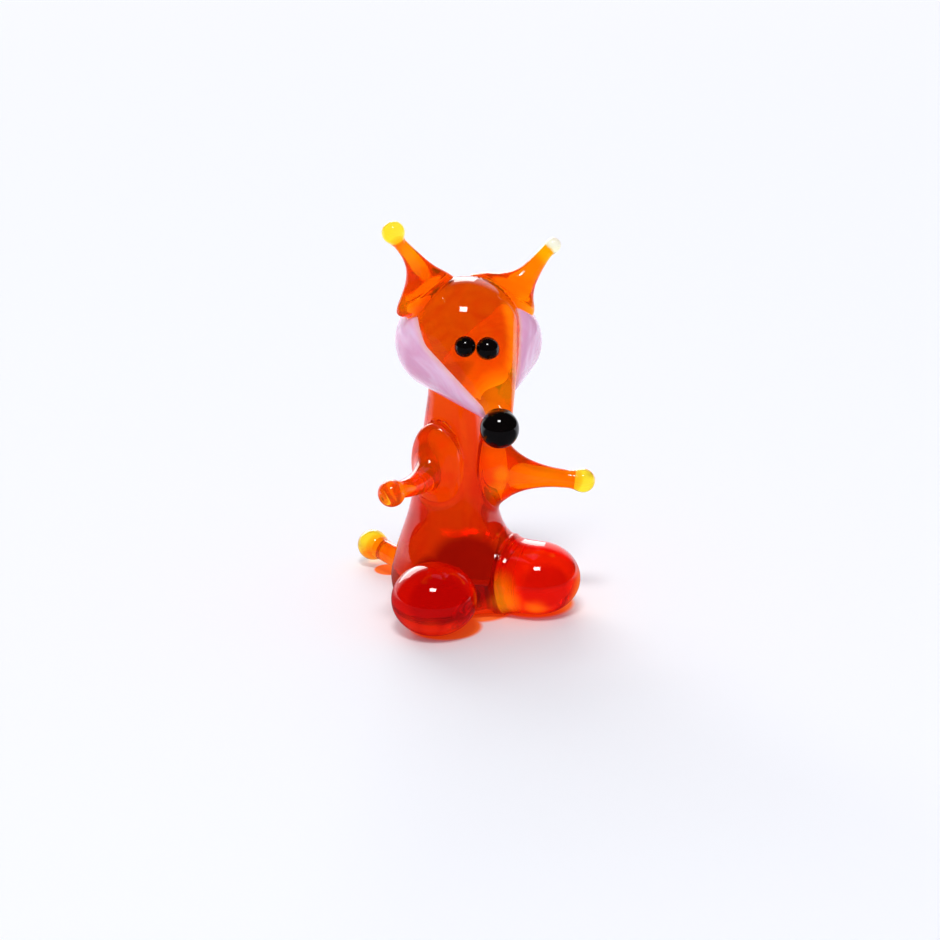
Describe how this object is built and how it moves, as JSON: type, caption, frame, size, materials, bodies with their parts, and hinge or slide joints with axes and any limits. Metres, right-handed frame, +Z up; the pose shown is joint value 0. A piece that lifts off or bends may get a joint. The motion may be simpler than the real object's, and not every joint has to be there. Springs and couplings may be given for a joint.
{
  "type": "fox figurine",
  "caption": "Small sitting glass fox, drawn from orange glass, with pink cheeks, black bead eyes and nose, outstretched arms, ball feet and a rod tail.",
  "frame": {"origin": "centre of the flat underside of the body, on the surface it stands on", "axes": "+Z up, the fox faces -Y and its own left side is +X"},
  "size_m": [0.0282, 0.031, 0.0475],
  "materials": {
    "orange_glass": "clear orange glass, fire polished",
    "amber_red_glass": "clear orange glass deepening to red low down, fire polished",
    "red_glass": "clear red-orange glass, fire polished",
    "pink_opal_glass": "milky pink glass, fire polished",
    "black_glass": "black glass, fire polished",
    "yellow_glass": "clear yellow glass, fire polished",
    "amber_glass": "clear amber glass, fire polished",
    "pale_glass": "nearly colourless glass, fire polished"
  },
  "bodies": {
    "root": {"head": "orange_glass", "ear_right": "orange_glass", "ear_left": "orange_glass", "arm_right": "orange_glass", "arm_left": "orange_glass", "tail": "orange_glass", "body": "amber_red_glass", "foot_right": "red_glass", "foot_left": "red_glass", "cheek_right": "pink_opal_glass", "cheek_left": "pink_opal_glass", "nose": "black_glass", "eye_right": "black_glass", "eye_left": "black_glass", "ear_tip_right": "yellow_glass", "paw_left": "yellow_glass", "tail_tip": "yellow_glass", "paw_right": "amber_glass", "ear_tip_left": "pale_glass"}
  },
  "joints": []
}
